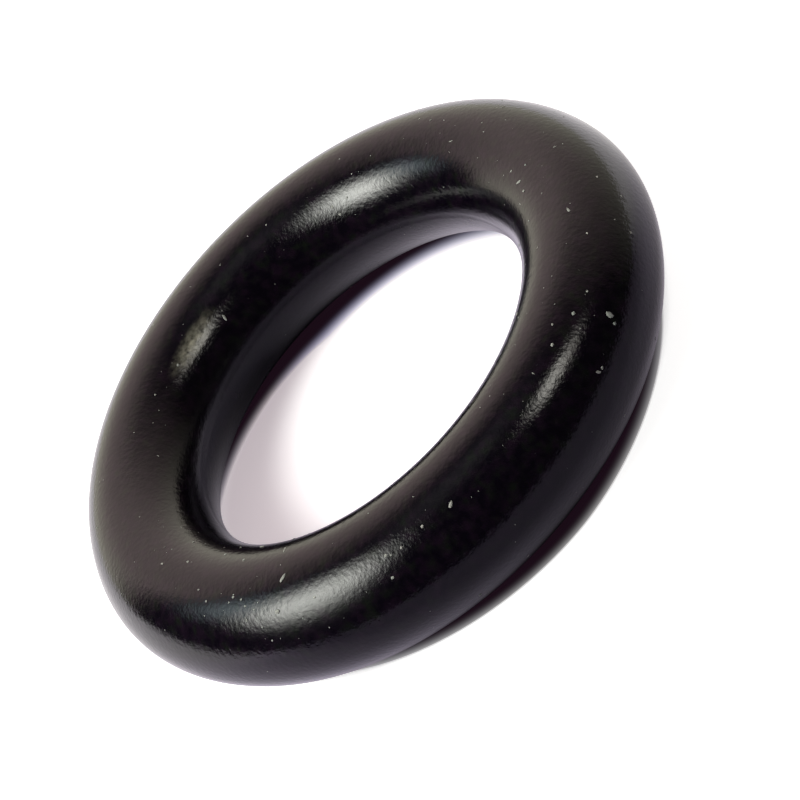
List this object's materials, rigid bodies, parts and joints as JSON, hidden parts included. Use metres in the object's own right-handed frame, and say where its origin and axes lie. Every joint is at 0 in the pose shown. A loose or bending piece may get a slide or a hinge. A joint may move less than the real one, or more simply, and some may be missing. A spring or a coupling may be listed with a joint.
{
  "type": "fuel injector seal",
  "caption": "Round moulded rubber seal ring with a round section and a trimmed flash land round its bore and its outside.",
  "frame": {"origin": "centre of the bore on the parting plane, which is also the middle of the ring's height", "axes": "+Z along the ring's axis; X and Y lie in the parting plane, and the ring is the same all the way round"},
  "size_m": [0.015, 0.015, 0.003],
  "materials": {
    "moulded_rubber": "smooth moulded black rubber with a satin gloss and a little dust"
  },
  "bodies": {
    "root": {"seal_ring": "moulded_rubber"}
  },
  "joints": []
}
